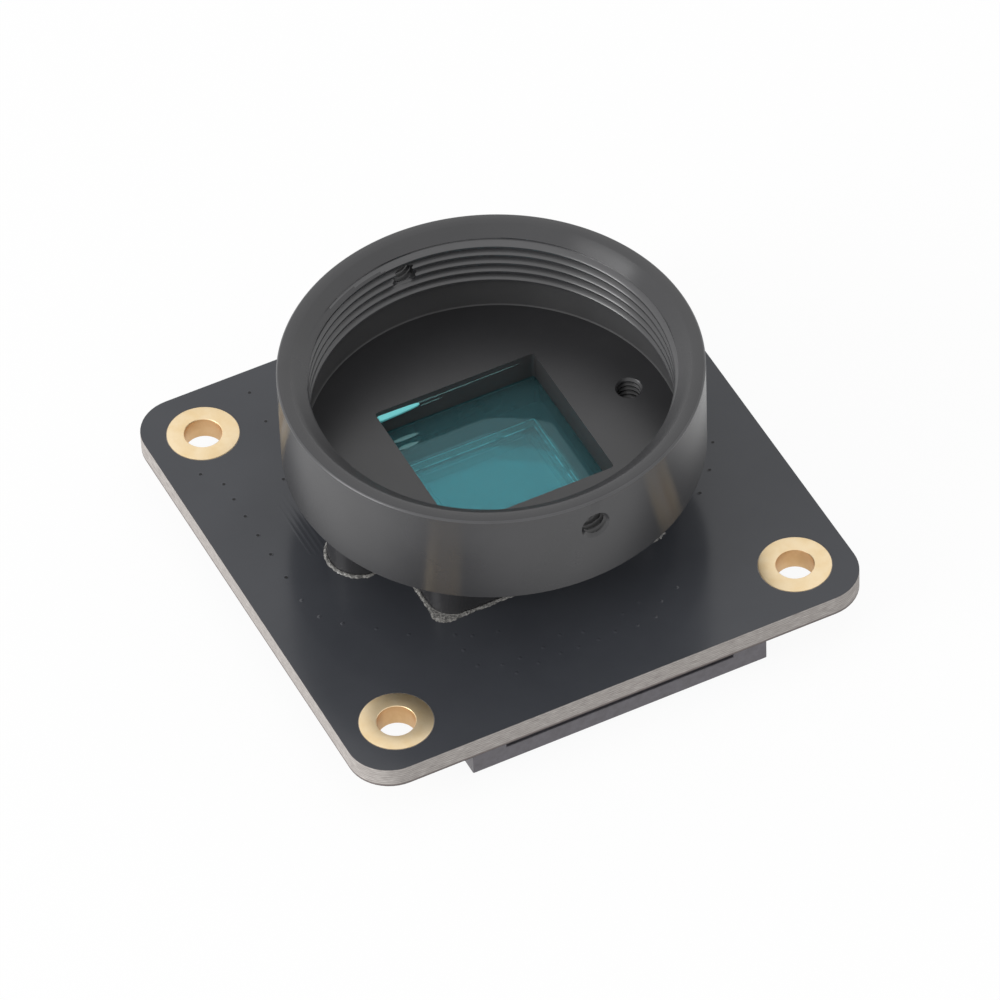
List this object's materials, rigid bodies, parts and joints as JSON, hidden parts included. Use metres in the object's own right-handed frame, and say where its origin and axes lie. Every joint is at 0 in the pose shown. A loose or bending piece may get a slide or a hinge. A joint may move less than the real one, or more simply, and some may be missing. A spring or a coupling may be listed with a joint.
{
  "type": "camera module",
  "caption": "Square bare-board camera module with a threaded lens collar over its image sensor and a flat cable connector under one edge.",
  "frame": {"origin": "centre of the four fixing holes on the board's underside", "axes": "+Z out of the lens collar along the lens axis, -Y out of the cable connector, +X along the connector"},
  "size_m": [0.038, 0.038, 0.0172],
  "materials": {
    "solder_mask": "glossy black solder mask on glass fibre",
    "gold_plating": "immersion gold",
    "anodised_aluminium": "black anodised, satin",
    "zinc_steel": "zinc plated",
    "clear_glue": "cured, milky",
    "filter_coating": "infrared cut coating",
    "black_glue": "cured, dull",
    "dark_ceramic": "fired, dull",
    "silicon": "polished, microlensed",
    "cover_glass": "clear",
    "solder": "tinned",
    "housing_plastic": "moulded",
    "latch_plastic": "moulded",
    "pale_ceramic": "fired",
    "lid_metal": "rolled",
    "capacitor_ceramic": "fired",
    "resistor_glaze": "glazed",
    "chip_resin": "moulded, fine matt"
  },
  "bodies": {
    "camera": {"circuit_board": "solder_mask", "lens_mount": "anodised_aluminium", "mount_screws": "zinc_steel", "adhesive_bead": "clear_glue", "filter_glass": "filter_coating", "filter_adhesive": "black_glue", "sensor_package": "dark_ceramic", "sensor_die": "silicon", "sensor_glass_seal": "black_glue", "sensor_cover_glass": "cover_glass", "ffc_housing": "housing_plastic", "ffc_contacts": "gold_plating", "ffc_solder_tabs": "solder", "oscillator_base": "pale_ceramic", "oscillator_lid": "lid_metal", "capacitor_bodies": "capacitor_ceramic", "resistor_bodies": "resistor_glaze", "chip_terminals": "solder", "regulator_1": "chip_resin", "regulator_2": "chip_resin", "regulator_3": "chip_resin", "regulator_leads": "solder"},
    "latch": {"ffc_latch": "latch_plastic"}
  },
  "joints": [
    {"name": "latch_slide", "type": "slide", "parent": "camera", "child": "latch", "axis": [0, -1, 0], "range_m": [0, 0.0012]}
  ]
}
